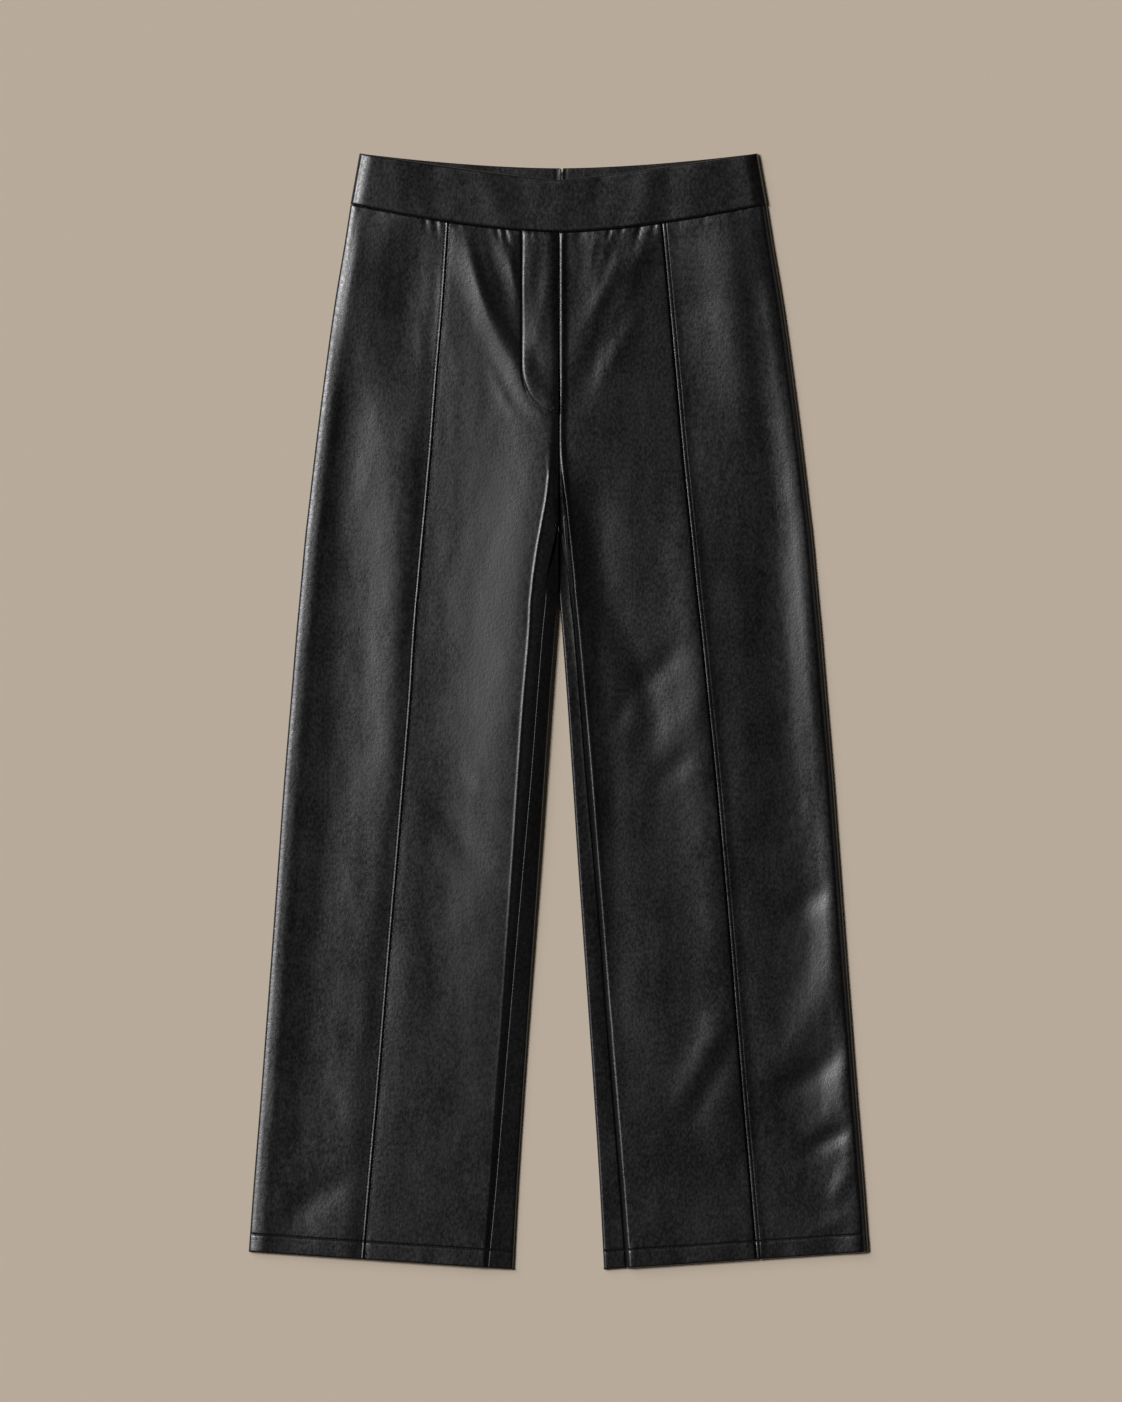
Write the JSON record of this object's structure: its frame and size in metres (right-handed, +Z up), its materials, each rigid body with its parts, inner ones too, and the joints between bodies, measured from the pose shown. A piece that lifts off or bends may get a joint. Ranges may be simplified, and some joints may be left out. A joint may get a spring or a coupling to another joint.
{
  "type": "leather trousers",
  "caption": "High-waisted straight-leg leather trousers with a mock fly and seamed fronts, laid flat with the front up.",
  "frame": {"origin": "middle of the underside, on the surface that the trousers lie on", "axes": "+X across the garment, to the right seen from above; +Y up the garment towards the waistband; +Z up off the surface, out of the front"},
  "size_m": [0.5766, 1.0384, 0.0122],
  "materials": {
    "leather": "black nappa leather with a fine grain and a soft sheen",
    "band_leather": "black nappa leather, doubled and pressed, a little smoother"
  },
  "bodies": {
    "root": {"waistband_front": "band_leather", "waistband_back_left": "band_leather", "waistband_back_right": "band_leather", "front_outer_left": "leather", "front_outer_right": "leather", "front_inner_left": "leather", "front_inner_right": "leather", "back_left": "leather", "back_right": "leather", "fly": "leather"}
  },
  "joints": []
}
